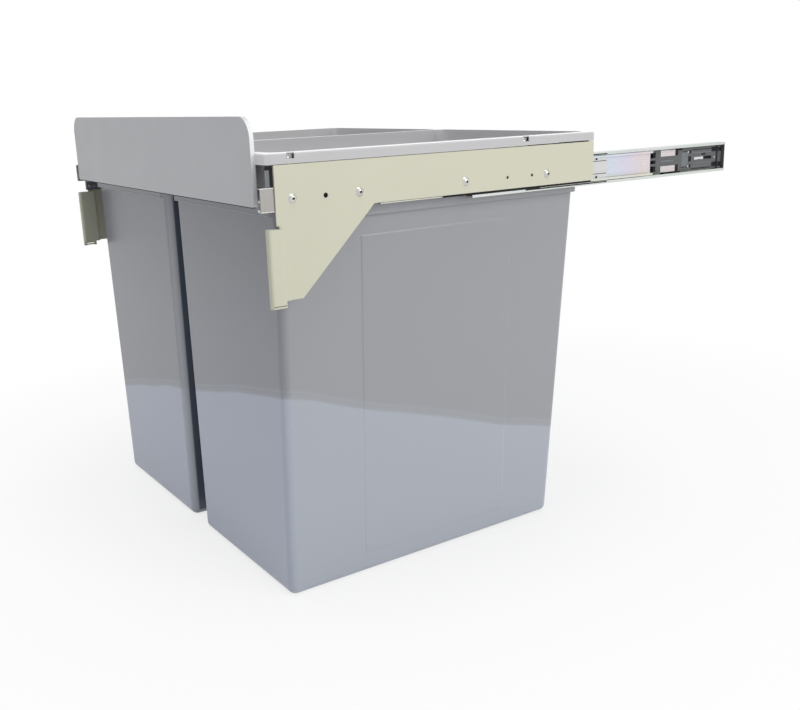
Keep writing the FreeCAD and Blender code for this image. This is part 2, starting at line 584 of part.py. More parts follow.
def soft_close_housing():
    """Moulded housing: open fork in front, closed body with the catch's slot behind."""
    x0, x1 = HOUSING_X, HOUSING_X + HOUSING_THICK
    tall = TRACK_OUT - HOUSING_PLAY
    body = HOUSING_BODY / 2
    spine = HOUSING_SPINE / 2
    bar = HOUSING_FRONT + HOUSING_TEETH
    window = bar + HOUSING_BAR
    rear_bar = window + HOUSING_WINDOW
    rear = HOUSING_FRONT + HOUSING_LENGTH
    pieces = [box(x0, x1, bar, window, SLIDE_AXIS - body, SLIDE_AXIS + body),
              box(x0, x1, window, rear_bar, SLIDE_AXIS - spine, SLIDE_AXIS + spine),
              box(x0, x1, rear_bar, rear_bar + HOUSING_REAR_BAR, SLIDE_AXIS - tall, SLIDE_AXIS + tall),
              box(x0, x1, rear_bar + HOUSING_REAR_BAR, rear, SLIDE_AXIS - body, SLIDE_AXIS + body)]
    tooth = HOUSING_TEETH
    for s in (-1, 1):
        pieces.append(box(x0, x1, bar - tooth / 2, bar, SLIDE_AXIS + s * (body - TOOTH_HEIGHT),
                          SLIDE_AXIS + s * body))
        pieces.append(box(x0, x1, bar - tooth, bar, SLIDE_AXIS + s * TOOTH_PLACE,
                          SLIDE_AXIS + s * (TOOTH_PLACE + TOOTH_HEIGHT)))
    housing = fuse(pieces)
    y0, y1 = catch_bounds()
    half = CATCH_HEIGHT / 2 + CATCH_GAP
    slot = box(x1 - CATCH_THICK - CATCH_GAP, x1 + OVER, y0 - CATCH_GAP, y1 + CATCH_TRAVEL + CATCH_GAP,
               SLIDE_AXIS - half, SLIDE_AXIS + half)
    pins = [cylinder_x(x0 - OVER, x1 + OVER, HOUSING_FRONT + y, SLIDE_AXIS + z, PIN_DIAMETER)
            for y, z in PIN_PLACES]
    return housing.cut(group([slot] + pins))


def soft_close_catch():
    """Sliding catch with a gap between its two cheeks for the drawer member's tongue."""
    x1 = HOUSING_X + HOUSING_THICK
    y0, y1 = catch_bounds()
    half = CATCH_HEIGHT / 2
    slider = box(x1 - CATCH_THICK, x1, y0, y1, SLIDE_AXIS - half, SLIDE_AXIS + half)
    gap_y = y0 + (CATCH_LENGTH - CATCH_MOUTH) / 2
    gap = box(x1 - CATCH_THICK / 2, x1 + OVER, gap_y, gap_y + CATCH_MOUTH,
              SLIDE_AXIS - half - OVER, SLIDE_AXIS + half + OVER)
    return slider.cut(gap)


def soft_close_pins():
    """Round pins through the housing, standing on the cabinet member's web."""
    x1 = HOUSING_X + HOUSING_THICK + PIN_PROUD
    return group([cylinder_x(HOUSING_X, x1, HOUSING_FRONT + y, SLIDE_AXIS + z, PIN_DIAMETER)
                  for y, z in PIN_PLACES])


def end_stop():
    """Rear end stop of the cabinet member."""
    half = TRACK_OUT - HOUSING_PLAY
    return box(HOUSING_X, HOUSING_X + STOP_DEPTH, RAIL_REAR - STOP_LENGTH, RAIL_REAR,
               SLIDE_AXIS - half, SLIDE_AXIS + half)


# ---------------------------------------------------------------- bins, right-hand side
def bin_section(z, inset, radius):
    """Level section through a bin's body at height z, moved in by inset."""
    top = RIM_BOTTOM
    f = (top - z) / (top + BIN_DEPTH)
    x0 = COLLAR_IN + COLLAR_PROUD_INNER + BIN_INNER_DRAFT * f + inset
    x1 = COLLAR_OUT - COLLAR_PROUD_SLOPED - BIN_SIDE_DRAFT * f - inset
    y0 = COLLAR_FRONT + COLLAR_PROUD + inset
    y1 = COLLAR_BACK - COLLAR_PROUD_SLOPED - BIN_BACK_DRAFT * f - inset
    return rounded_wire(x0, x1, y0, y1, z, radius)


def bin_body(inset, z_low, z_high, radius):
    """Tapered solid between two level sections."""
    return Part.makeLoft([bin_section(z_low, inset, radius), bin_section(z_high, inset, radius)], True, True)


def lowest_edges(solid):
    """Edges round the flat underside of a solid."""
    return [e for e in solid.Edges if e.BoundBox.ZMax < solid.BoundBox.ZMin + EDGE_TOLERANCE]


def waste_bin():
    """Right-hand bin: tapered shell, turned-down collar and the rim that rests on the ledge."""
    outer = bin_body(0.0, -BIN_DEPTH, RIM_TOP, BIN_CORNER)
    outer = outer.makeFillet(BIN_FLOOR_RADIUS, lowest_edges(outer))
    rim = rounded_block(OPEN_IN + RIM_PLAY, OPEN_OUT - RIM_PLAY, OPENING_FRONT + RIM_PLAY, COLLAR_BACK,
                        RIM_BOTTOM, RIM_TOP, OPENING_CORNER - RIM_PLAY)
    collar = rounded_block(COLLAR_IN, COLLAR_OUT, COLLAR_FRONT, COLLAR_BACK, COLLAR_SIDE_BOTTOM,
                           RIM_BOTTOM, BIN_CORNER + COLLAR_PROUD)
    w = COLLAR_WALL
    gap = rounded_block(COLLAR_IN + w, COLLAR_OUT - w, COLLAR_FRONT + w, COLLAR_BACK - w,
                        COLLAR_SIDE_BOTTOM, RIM_BOTTOM, BIN_CORNER + COLLAR_PROUD - w)
    collar = collar.cut(gap)
    shorter = box(0, HALF, COLLAR_FRONT - OVER, COLLAR_STEP, COLLAR_SIDE_BOTTOM - OVER, COLLAR_FRONT_BOTTOM)
    collar = collar.cut(shorter)
    shell = fuse([outer, rim, collar])
    hollow = bin_body(BIN_WALL, -BIN_DEPTH + BIN_FLOOR, RIM_TOP + OVER, BIN_CORNER - BIN_WALL)
    hollow = hollow.makeFillet(BIN_FLOOR_RADIUS - BIN_WALL, lowest_edges(hollow))
    return shell.cut(hollow)


def write(name, shape):
    """Move a piece to the row's origin and write it."""
    placed = shape.copy()
    placed.translate(-ORIGIN)
    placed.exportStep("parts/" + name + ".step")
    box_ = placed.BoundBox
    print(f"{name:28s} solids {len(placed.Solids):3d} volume {placed.Volume / 1000:9.2f} cm3  "
          f"X {box_.XMin:8.2f} {box_.XMax:8.2f}  Y {box_.YMin:8.2f} {box_.YMax:8.2f}  "
          f"Z {box_.ZMin:8.2f} {box_.ZMax:8.2f} valid {placed.isValid()}")


def main():
    """Build every piece and write one file for each."""
    os.makedirs("parts", exist_ok=True)
    write("top_frame", top_frame())
    write("front_panel", front_panel())
    write("front_panel_screws", front_panel_screws())
    handed = {
        "side_plate": side_plate(),
        "door_pocket": door_pocket(),
        "plate_screws": plate_screws(),
        "frame_rivets": frame_rivets(),
        "outer_slide_member": outer_member(),
        "middle_slide_member": middle_member(),
        "inner_slide_member": inner_member(),
        "inner_ball_cage": inner_ball_cage(),
        "inner_balls": balls(*inner_row()),
        "outer_ball_cage": outer_ball_cage(),
        "outer_balls": balls(*outer_row()),
        "soft_close_housing": soft_close_housing(),
        "soft_close_catch": soft_close_catch(),
        "soft_close_pins": soft_close_pins(),
        "end_stop": end_stop(),
        "waste_bin": waste_bin(),
    }
    for name, shape in handed.items():
        write("right_" + name, shape)
        write("left_" + name, mirrored(shape))
    print("origin in carriage coordinates", ORIGIN)


main()
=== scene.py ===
# %% [markdown]
# # A pull-out waste carriage
# The real object is a folded steel frame that carries two moulded bins and rolls out of a kitchen
# cabinet on ball slides.  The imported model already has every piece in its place, so this script
# adds what a drawing lacks: paint, moulded plastic, bright zinc, small formed details and light.
# Everything is in metres: +X is to the right, the front faces -Y and +Z is up.

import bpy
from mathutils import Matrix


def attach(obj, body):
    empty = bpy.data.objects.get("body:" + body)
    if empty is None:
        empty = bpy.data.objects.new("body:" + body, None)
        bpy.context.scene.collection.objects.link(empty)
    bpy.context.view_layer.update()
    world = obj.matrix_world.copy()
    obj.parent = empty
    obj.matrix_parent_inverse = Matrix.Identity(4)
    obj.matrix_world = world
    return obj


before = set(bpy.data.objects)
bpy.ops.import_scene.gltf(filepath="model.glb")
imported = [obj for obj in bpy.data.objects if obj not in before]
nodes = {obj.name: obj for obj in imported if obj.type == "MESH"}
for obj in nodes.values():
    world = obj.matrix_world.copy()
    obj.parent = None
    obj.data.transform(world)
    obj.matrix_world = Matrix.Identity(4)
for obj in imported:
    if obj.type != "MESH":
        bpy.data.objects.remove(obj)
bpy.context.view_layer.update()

# %% [markdown]
# ## Modules
# Meshes are made with bmesh, Blender's mesh library for scripts.  It places every vertex by measure,
# where an operator of the editor would depend on what happens to be selected or active.

# %% Modules
import math

import bmesh
import bpy
from mathutils import Matrix, Vector

MM = 0.001
scene = bpy.context.scene
print("one millimetre is", MM, "of the scene's unit")

# %% [markdown]
# ## Measures
# The drawing was made in carriage measures: X from the middle, Y back from the front edge of the
# side plates, Z up from their top edge.  The row's origin lies between the rails' fixing holes, so
# one helper moves a point from those measures to the scene.  It keeps every number below readable
# as a distance on the real carriage.

# %% Carriage measures
DATUM = Vector((0.0, 360.5, -30.5))
SLIDE_AXIS = -30.5


def at(x, y, z):
    """Point in the scene from carriage millimetres."""
    return (Vector((x, y, z)) - DATUM) * MM


print("front edge of the plates is at", tuple(round(c, 4) for c in at(0, 0, 0)))

# %% [markdown]
# ## Camera
# The camera was found by fitting the straight edges of the frame, the plates and the slide to the
# photograph.  Its axes are written out as a matrix, which is exact, where aiming it at a point and
# rolling it by eye would not be.

# %% Camera
FOCAL_PX = 963.39
IMAGE_WIDTH, IMAGE_HEIGHT = 800, 710
CENTRE_PX = (385.265, 353.039)
RIGHT = Vector((0.5578090, 0.8292637, -0.0342178))
DOWN = Vector((0.1955441, -0.1713775, -0.9656046))
FORWARD = Vector((-0.8066050, 0.5319318, -0.2577536))
EYE = at(1056.679, -400.221, 56.165)

camera_data = bpy.data.cameras.new("product_camera")
camera = bpy.data.objects.new("product_camera", camera_data)
scene.collection.objects.link(camera)
camera_data.sensor_fit = "HORIZONTAL"
camera_data.sensor_width = 36.0
camera_data.lens = FOCAL_PX / IMAGE_WIDTH * camera_data.sensor_width
camera_data.shift_x = (IMAGE_WIDTH / 2 - CENTRE_PX[0]) / IMAGE_WIDTH
camera_data.shift_y = (CENTRE_PX[1] - IMAGE_HEIGHT / 2) / IMAGE_WIDTH
camera_data.clip_start = 0.02
camera_data.clip_end = 200.0
axes = Matrix((RIGHT, -DOWN, -FORWARD)).transposed()
camera.matrix_world = Matrix.Translation(EYE) @ axes.to_4x4()
scene.camera = camera
print("lens", round(camera_data.lens, 2), "mm")

# %% [markdown]
# ## Sums in node trees
# Lights and finishes are both trees of nodes.  Two small helpers add a sum or a change of range to
# any of them, so that the trees below read like the sums that they are.


# %% Sum helpers
def calculate(tree, operation, a, b=0.0):
    """Math node on two sockets or numbers."""
    node = tree.nodes.new("ShaderNodeMath")
    node.operation = operation
    for socket, value in zip(node.inputs, (a, b)):
        if isinstance(value, (int, float)):
            socket.default_value = value
        else:
            tree.links.new(value, socket)
    return node.outputs[0]


def remap(tree, value, low, high, start=0.3, end=0.7):
    """Low where the value is at start, high where it is at end, and in proportion between."""
    node = tree.nodes.new("ShaderNodeMapRange")
    node.inputs["From Min"].default_value = start
    node.inputs["From Max"].default_value = end
    node.inputs["To Min"].default_value = low
    node.inputs["To Max"].default_value = high
    tree.links.new(value, node.inputs["Value"])
    return node.outputs["Result"]


print("sum helpers ready")

# %% [markdown]
# ## Light
# The photograph was lit softly from the right rear and from above, and only weakly from the front:
# the plates that face right are bright, and the bins' front faces are a good deal darker.  The world
# does two things at once.  To the surfaces it is a weak cool fill, and to the camera, and to metal
# that mirrors it, it is plain white.  The Light Path node tells the two kinds of ray apart.

# %% World
FILL_COLOUR, FILL_STRENGTH = (0.93, 0.95, 1.0, 1.0), 0.38
WHITE = (1.0, 1.0, 1.0, 1.0)
world = bpy.data.worlds.new("studio")
scene.world = world
world.use_nodes = True
tree = world.node_tree
tree.nodes.clear()
fill = tree.nodes.new("ShaderNodeBackground")
fill.inputs["Color"].default_value = FILL_COLOUR
fill.inputs["Strength"].default_value = FILL_STRENGTH
white = tree.nodes.new("ShaderNodeBackground")
white.inputs["Color"].default_value = WHITE
white.inputs["Strength"].default_value = 1.0
rays = tree.nodes.new("ShaderNodeLightPath")
looked_at = calculate(tree, "MAXIMUM", rays.outputs["Is Camera Ray"], rays.outputs["Is Glossy Ray"])
looked_at = calculate(tree, "MAXIMUM", looked_at, rays.outputs["Is Transmission Ray"])
pick = tree.nodes.new("ShaderNodeMixShader")
world_out = tree.nodes.new("ShaderNodeOutputWorld")
tree.links.new(looked_at, pick.inputs[0])
tree.links.new(fill.outputs[0], pick.inputs[1])
tree.links.new(white.outputs[0], pick.inputs[2])
tree.links.new(pick.outputs[0], world_out.inputs["Surface"])
scene.view_settings.view_transform = "Standard"
print("fill strength", FILL_STRENGTH)

# %% [markdown]
# ### Soft boxes
# One large lamp stands to the right rear and another hangs overhead.  Area lamps were chosen because
# their size makes the shadows soft, as a studio's diffusers do.  A sun or a point lamp would draw a
# hard edge under the plates.


# %% Soft boxes
def soft_box(name, place, aim, width, height, watts):
    """Rectangular area lamp that faces a point."""
    lamp = bpy.data.lights.new(name, "AREA")
    lamp.shape = "RECTANGLE"
    lamp.size, lamp.size_y = width, height
    lamp.energy = watts
    holder = bpy.data.objects.new(name, lamp)
    scene.collection.objects.link(holder)
    holder.location = place
    aim_at = Vector(aim) - Vector(place)
    holder.rotation_euler = aim_at.to_track_quat("-Z", "Y").to_euler()
    return holder


right_box = soft_box("right_soft_box", (2.6, 0.75, 0.9), (0, -0.1, -0.1), 1.8, 1.8, 34)
top_box = soft_box("top_soft_box", (0.1, -0.2, 2.4), (0, -0.15, 0), 2.2, 2.2, 44)
print("lamps:", right_box.name, top_box.name)

# %% [markdown]
# ## Floor
# A plain pale floor lies just under the bins.

# %% Floor mesh
BIN_FOOT = -447.5             # underside of the bins
FLOOR_DROP = 0.0005           # the floor lies this much lower, in metres
FLOOR_REACH = 40.0
FLOOR_LEVEL = at(0, 0, BIN_FOOT).z - FLOOR_DROP
floor_mesh = bpy.data.meshes.new("studio_floor")
corners = [(x * FLOOR_REACH, y * FLOOR_REACH, 0) for x, y in ((-1, -1), (1, -1), (1, 1), (-1, 1))]
floor_mesh.from_pydata(corners, [], [(0, 1, 2, 3)])
floor = bpy.data.objects.new("studio_floor", floor_mesh)
floor.location = (0.0, 0.0, FLOOR_LEVEL)
scene.collection.objects.link(floor)
print("floor at", round(FLOOR_LEVEL, 4))

# %% [markdown]
# ### Floor paint
# Close to the object the floor is mostly an ordinary matt surface, so it takes the soft shadow.
# Further out it turns by distance into plain white for the camera, and the horizon can't be seen.  A
# curved backdrop would do the same, but it would also cut the view from behind.

# %% Floor paint
WHITE_NEAR, WHITE_FAR = 0.25, 0.9     # distances in metres between which the white comes up
WHITE_SHARE = 0.72                    # how much plain white there is already under the object
floor_paint = bpy.data.materials.new("studio_floor_white")
floor_paint.use_nodes = True
tree = floor_paint.node_tree
tree.nodes.clear()
matt = tree.nodes.new("ShaderNodeBsdfDiffuse")
matt.inputs["Color"].default_value = (0.86, 0.86, 0.86, 1)
glow = tree.nodes.new("ShaderNodeEmission")
glow.inputs["Color"].default_value = WHITE
glow.inputs["Strength"].default_value = 1.0
ground = tree.nodes.new("ShaderNodeTexCoord")
distance = tree.nodes.new("ShaderNodeVectorMath")
distance.operation = "LENGTH"
tree.links.new(ground.outputs["Object"], distance.inputs[0])
spread = remap(tree, distance.outputs["Value"], WHITE_SHARE, 1.0, WHITE_NEAR, WHITE_FAR)
rays = tree.nodes.new("ShaderNodeLightPath")
looked_at = calculate(tree, "MAXIMUM", rays.outputs["Is Camera Ray"], rays.outputs["Is Glossy Ray"])
blend = tree.nodes.new("ShaderNodeMixShader")
floor_out = tree.nodes.new("ShaderNodeOutputMaterial")
tree.links.new(calculate(tree, "MULTIPLY", spread, looked_at), blend.inputs[0])
tree.links.new(matt.outputs[0], blend.inputs[1])
tree.links.new(glow.outputs[0], blend.inputs[2])
tree.links.new(blend.outputs[0], floor_out.inputs["Surface"])
floor_mesh.materials.append(floor_paint)
print("floor is plain white from", WHITE_FAR, "m")

# %% [markdown]
# ## Finishes
# Each finish is a Principled shader whose colour varies a little over the surface, and most vary in
# roughness or bump as well.  Values that are the same everywhere sit on the shader's own sockets.
# The textures use object coordinates in metres, so a scale of 1000 is a pattern about a millimetre
# across.  Object coordinates were chosen because the meshes have no UV map.


# %% Colour and noise helpers
def mix_rgb(tree, fac, a, b):
    """Colour mix of two colours or sockets by a factor socket."""
    node = tree.nodes.new("ShaderNodeMix")
    node.data_type = "RGBA"
    tree.links.new(fac, node.inputs[0])
    for socket, value in ((node.inputs[6], a), (node.inputs[7], b)):
        if isinstance(value, tuple):
            socket.default_value = value
        else:
            tree.links.new(value, socket)
    return node.outputs[2]


def noise(tree, scale, detail=2.0, stretch=(1, 1, 1)):
    """Noise value over object coordinates, stretched along an axis when asked."""
    coordinates = tree.nodes.new("ShaderNodeTexCoord")
    mapping = tree.nodes.new("ShaderNodeMapping")
    mapping.inputs["Scale"].default_value = stretch
    texture = tree.nodes.new("ShaderNodeTexNoise")
    texture.inputs["Scale"].default_value = scale
    texture.inputs["Detail"].default_value = detail
    texture.inputs["Roughness"].default_value = 0.5
    tree.links.new(coordinates.outputs["Object"], mapping.inputs["Vector"])
    tree.links.new(mapping.outputs["Vector"], texture.inputs["Vector"])
    return texture.outputs["Fac"]


print("colour helpers ready")

# %% [markdown]
# ### Bumps and directions
# A bump node bends the light as a fine grain would, with no faces spent on it.  Some finishes also
# change with the way that a face looks or with its place on the object.  The other helpers give a
# plain number for either, which a mix then uses.  A second material slot would do the same, but it
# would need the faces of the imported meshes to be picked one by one.


# %% Bump and direction helpers
BUMP_STRENGTH = 0.6


def bump(tree, shader, height, depth):
    """Bump from a height value, depth in metres."""
    node = tree.nodes.new("ShaderNodeBump")
    node.inputs["Strength"].default_value = BUMP_STRENGTH
    node.inputs["Distance"].default_value = depth
    tree.links.new(height, node.inputs["Height"])
    tree.links.new(node.outputs["Normal"], shader.inputs["Normal"])


def normal_part(tree, axis):
    """One part of the direction that a face looks in."""
    geometry = tree.nodes.new("ShaderNodeNewGeometry")
    parts = tree.nodes.new("ShaderNodeSeparateXYZ")
    tree.links.new(geometry.outputs["Normal"], parts.inputs[0])
    return parts.outputs[axis]


def object_part(tree, axis):
    """One object coordinate."""
    where = tree.nodes.new("ShaderNodeTexCoord")
    parts = tree.nodes.new("ShaderNodeSeparateXYZ")
    tree.links.new(where.outputs["Object"], parts.inputs[0])
    return parts.outputs[axis]


def facing(tree, axis, start, end):
    """How far a surface looks along a signed axis such as "-Y": 0 at start, 1 at end."""
    sign = -1.0 if axis[0] == "-" else 1.0
    return remap(tree, calculate(tree, "MULTIPLY", normal_part(tree, axis[-1]), sign), 0.0, 1.0, start, end)


print("direction helpers ready")

# %% [markdown]
# ### A new finish
# A material starts empty, so that nothing of Blender's default stays in it.  Its main node is found
# again by its type, because names of nodes depend on the language that Blender is set to.


# %% Finish helper
def finish(name):
    """New material with its Principled shader."""
    material = bpy.data.materials.new(name)
    material.use_nodes = True
    tree = material.node_tree
    tree.nodes.clear()
    shader = tree.nodes.new("ShaderNodeBsdfPrincipled")
    out = tree.nodes.new("ShaderNodeOutputMaterial")
    tree.links.new(shader.outputs[0], out.inputs["Surface"])
    return material, tree, shader


def principled(material):
    """The Principled shader of a finish."""
    return next(node for node in material.node_tree.nodes if node.type == "BSDF_PRINCIPLED")


print("finish helper ready")

# %% [markdown]
# ### Powder coat
# The frame, the panel and the plates are sheet steel with a baked powder coat.  Seen close it has a
# faint orange-peel skin, and its gloss is a soft satin.  One helper makes all three colours.


# %% Powder coat
ORANGE_PEEL = 0.00002         # depth of the skin in metres
CLOUD = 0.965                 # the darker parts of the coat, as a share of its colour


def powder_coat(name, colour, rough):
    """Satin powder coat with orange peel."""
    material, tree, shader = finish(name)
    dark = tuple(c * CLOUD for c in colour[:3]) + (1.0,)
    tree.links.new(mix_rgb(tree, noise(tree, 14.0), dark, colour), shader.inputs["Base Color"])
    sheen = remap(tree, noise(tree, 30.0), rough - 0.04, rough + 0.04)
    tree.links.new(sheen, shader.inputs["Roughness"])
    shader.inputs["Specular IOR Level"].default_value = 0.45
    bump(tree, shader, noise(tree, 900.0), ORANGE_PEEL)
    return material


print("powder coat ready")

# %% [markdown]
# ### Light and dark faces
# A folded sheet has sharp changes of tone where it turns.  The lamps make most of them.  What they
# leave is painted into the coat by the way that a face looks: painted light that makes the frame's
# tops and fronts and the panel's side edges lighter, and painted shade on the plates' inner faces.


# %% Shades of a coat
def shade(material, mask_of, colour):
    """Mix painted light and shade into a finish: a colour where a mask asks for it."""
    tree = material.node_tree
    socket = principled(material).inputs["Base Color"]
    before = socket.links[0].from_socket
    tree.links.new(mix_rgb(tree, mask_of(tree), before, colour), socket)


def looks_inward(tree):
    """Faces on either side that look towards the middle of the carriage."""
    side = calculate(tree, "SIGN", object_part(tree, "X"))
    return remap(tree, calculate(tree, "MULTIPLY", normal_part(tree, "X"), side), 1.0, 0.0, -0.95, -0.5)


def looks_sideways(tree):
    """Faces that look straight to the right or left."""
    return remap(tree, calculate(tree, "ABSOLUTE", normal_part(tree, "X")), 0.0, 1.0, 0.5, 0.9)


print("shades ready")

# %% [markdown]
# ### The three coats
# The frame is a cool light grey with painted light on its tops and fronts, the panel is nearly the
# same grey with painted light on its side edges, and the plates and their pockets are cream with
# painted shade on their inner faces.

# %% Coats
frame_coat = powder_coat("frame_grey_coat", (0.55, 0.545, 0.545, 1), 0.42)
# painted light: the frame's tops near white and its fronts lighter
shade(frame_coat, lambda tree: facing(tree, "+Z", 0.6, 0.95), (0.86, 0.86, 0.86, 1))
shade(frame_coat, lambda tree: facing(tree, "-Y", 0.2, 0.8), (0.80, 0.79, 0.79, 1))
panel_coat = powder_coat("panel_grey_coat", (0.60, 0.60, 0.61, 1), 0.45)
# painted light on the panel's side edges
shade(panel_coat, looks_sideways, (0.86, 0.86, 0.86, 1))
plate_coat = powder_coat("plate_cream_coat", (0.64, 0.625, 0.49, 1), 0.40)
# painted shade on the inner faces of the plates and pockets
shade(plate_coat, looks_inward, (0.42, 0.42, 0.33, 1))
print("coats:", frame_coat.name, panel_coat.name, plate_coat.name)

# %% [markdown]
# ### Moulded bin plastic
# The bins are thick grey polypropylene.  A room's pale floor is mirrored in the lower half of each
# wall as a brighter, bluer sheen that ends at a sharp wavy line, and the fronts, which are seen at a
# slant, show it more strongly.  A real mirror image would need the whole room, so it is a painted
# reflection here, made from the place on the wall: below a slanted plane, bent by a slow noise, it
# is there.

# %% Sheen on the bins
SHEEN_LEVEL = -0.3503         # height of the sheen's edge at the middle of the scene
SHEEN_RISE = 0.20             # how much it rises to the right
SHEEN_FALL = 0.30             # how much it falls to the back
SHEEN_WAVE = 0.030            # how far the edge waves up and down
SHEEN_BAND = 0.02             # half the height in which the ramp below goes from end to end
bin_plastic, tree, shader = finish("bin_grey_plastic")
across, back, up = (object_part(tree, axis) for axis in "XYZ")
rise = calculate(tree, "MULTIPLY", across, -SHEEN_RISE)
fall = calculate(tree, "MULTIPLY", back, SHEEN_FALL)
ripple = noise(tree, 5.0, stretch=(1.0, 1.0, 0.1))
wave = calculate(tree, "MULTIPLY", calculate(tree, "SUBTRACT", ripple, 0.5), SHEEN_WAVE)
level = calculate(tree, "ADD", calculate(tree, "ADD", rise, fall), up)
level = calculate(tree, "ADD", level, wave)
sheen = tree.nodes.new("ShaderNodeValToRGB")
above = remap(tree, level, 0.0, 1.0, SHEEN_LEVEL - SHEEN_BAND, SHEEN_LEVEL + SHEEN_BAND)
tree.links.new(above, sheen.inputs["Fac"])
steps = sheen.color_ramp
steps.elements[0].position, steps.elements[0].color = 0.44, (1.0, 1.0, 1.0, 1.0)
steps.elements[1].position, steps.elements[1].color = 0.50, (0.28, 0.28, 0.28, 1.0)
for position, strength in ((0.60, 0.12), (0.66, 0.24), (0.70, 0.05), (0.80, 0.0)):
    steps.elements.new(position).color = (strength, strength, strength, 1.0)
print("sheen has", len(steps.elements), "steps")

# %% [markdown]
# ### Wall colours
# Above the edge the fronts are darker than the sides, with painted shade that is deepest near the top,
# where the frame and the panel keep the light away.  Below it the fronts carry a stronger painted
# reflection, brighter and bluer than on the sides.

# %% Wall colours
# SIDE_ABOVE is the plastic's own grey; the fronts above the edge add painted shade to it, and the colours
# below the edge hold the painted reflection.
SIDE_ABOVE, SIDE_BELOW = (0.340, 0.346, 0.362, 1), (0.415, 0.442, 0.490, 1)
FRONT_TOP, FRONT_ABOVE = (0.245, 0.250, 0.272, 1), (0.300, 0.310, 0.340, 1)
FRONT_BELOW = (0.460, 0.495, 0.590, 1)
front = calculate(tree, "ABSOLUTE", normal_part(tree, "Y"))
near_top = remap(tree, up, 0.0, 1.0, -0.16, 0.0)
upper = mix_rgb(tree, front, SIDE_ABOVE, mix_rgb(tree, near_top, FRONT_ABOVE, FRONT_TOP))
lower = mix_rgb(tree, front, SIDE_BELOW, FRONT_BELOW)
skin = mix_rgb(tree, sheen.outputs["Color"], upper, lower)
print("walls below the edge:", SIDE_BELOW[:3], "on the sides")

# %% [markdown]
# ### The gap between the bins
# The walls that face each other across the narrow gap hardly get any light, and painted shade makes
# their plastic darker there.  The rounded corners beside it catch some light, and a painted highlight
# makes them a little lighter.

# %% Gap colours
GAP_PAINTED_SHADE, CORNER_PAINTED_LIGHT = (0.125, 0.145, 0.190, 1), (0.50, 0.51, 0.54, 1)
outward = calculate(tree, "SIGN", across)
inward = calculate(tree, "MULTIPLY", calculate(tree, "MULTIPLY", normal_part(tree, "X"), outward), -1.0)
near_middle = remap(tree, calculate(tree, "ABSOLUTE", across), 1.0, 0.0, 0.030, 0.040)
turning = calculate(tree, "MULTIPLY", remap(tree, inward, 0.0, 0.75, 0.15, 0.60), near_middle)
skin = mix_rgb(tree, turning, skin, CORNER_PAINTED_LIGHT)
in_gap = calculate(tree, "MULTIPLY", remap(tree, inward, 0.0, 1.0, 0.975, 0.998), near_middle)
tree.links.new(mix_rgb(tree, in_gap, skin, GAP_PAINTED_SHADE), shader.inputs["Base Color"])
shader.inputs["Roughness"].default_value = 0.27
shader.inputs["Specular IOR Level"].default_value = 0.42
print("finish:", bin_plastic.name)

# %% [markdown]
# ### Bright zinc
# The slides are rolled steel with bright passivated zinc.  On the flat webs the thin film shows
# interference colours, which drift along the rail from cyan through lavender to pink and turn
# yellow-green along the lower edge.  The rolled lips are worn pale and a little green.


# %% Zinc
def zinc(name, low, high, rough=0.30, scale=9.0, metallic=0.9):
    """Plain zinc-plated or bright steel with faint rolling lines along Y."""
    material, tree, shader = finish(name)
    tree.links.new(mix_rgb(tree, remap(tree, noise(tree, scale, 1.0), 0.0, 1.0), low, high),
                   shader.inputs["Base Color"])
    shader.inputs["Metallic"].default_value = metallic
    lines = noise(tree, 900.0, stretch=(1.0, 0.02, 1.0))
    tree.links.new(remap(tree, lines, rough - 0.04, rough + 0.05), shader.inputs["Roughness"])
    return material


print("plain zinc ready")

# %% [markdown]
# ### Film colours
# The colours come from a ramp that runs back and forth along the rail.  A pingpong of the distance
# gives the there and back, and a slow noise keeps the bands from being straight.


# %% Tinted zinc
LIP_BLEND = 0.0007            # the film fades into the pale lip over this width, in metres


def tinted_zinc(name, start, length, lip_start, foot_low, foot_high):
    """Rail steel with film colours from start over a length, and pale where X is past lip_start."""
    material = zinc(name, (0.58, 0.62, 0.59, 1), (0.66, 0.69, 0.66, 1), metallic=0.6)
    tree = material.node_tree
    colour = principled(material).inputs["Base Color"]
    pale = colour.links[0].from_socket
    blur = calculate(tree, "MULTIPLY", noise(tree, 45.0), 0.35)
    along = calculate(tree, "DIVIDE", calculate(tree, "SUBTRACT", object_part(tree, "Y"), start), length)
    fold = calculate(tree, "PINGPONG", calculate(tree, "ADD", along, blur), 1.0)
    ramp = tree.nodes.new("ShaderNodeValToRGB")
    band = ramp.color_ramp
    band.elements[0].position, band.elements[0].color = 0.10, (0.56, 0.65, 0.68, 1)
    band.elements[1].position, band.elements[1].color = 0.95, (0.70, 0.62, 0.63, 1)
    band.elements.new(0.35).color = (0.60, 0.66, 0.73, 1)
    band.elements.new(0.60).color = (0.64, 0.62, 0.73, 1)
    tree.links.new(fold, ramp.inputs["Fac"])
    foot = remap(tree, object_part(tree, "Z"), 1.0, 0.0, foot_low, foot_high)
    film = mix_rgb(tree, foot, ramp.outputs["Color"], (0.66, 0.67, 0.54, 1))
    out = calculate(tree, "ABSOLUTE", object_part(tree, "X"))
    lip = remap(tree, out, 0.0, 1.0, lip_start, lip_start + LIP_BLEND)
    tree.links.new(mix_rgb(tree, lip, film, pale), colour)
    return material


print("tinted zinc ready")

# %% [markdown]
# ### The rails' finishes
# The two longer rails have film colours that start at different places.  The drawer member is duller
# and browner, the cages are plain grey zinc, and the screws are the brightest.

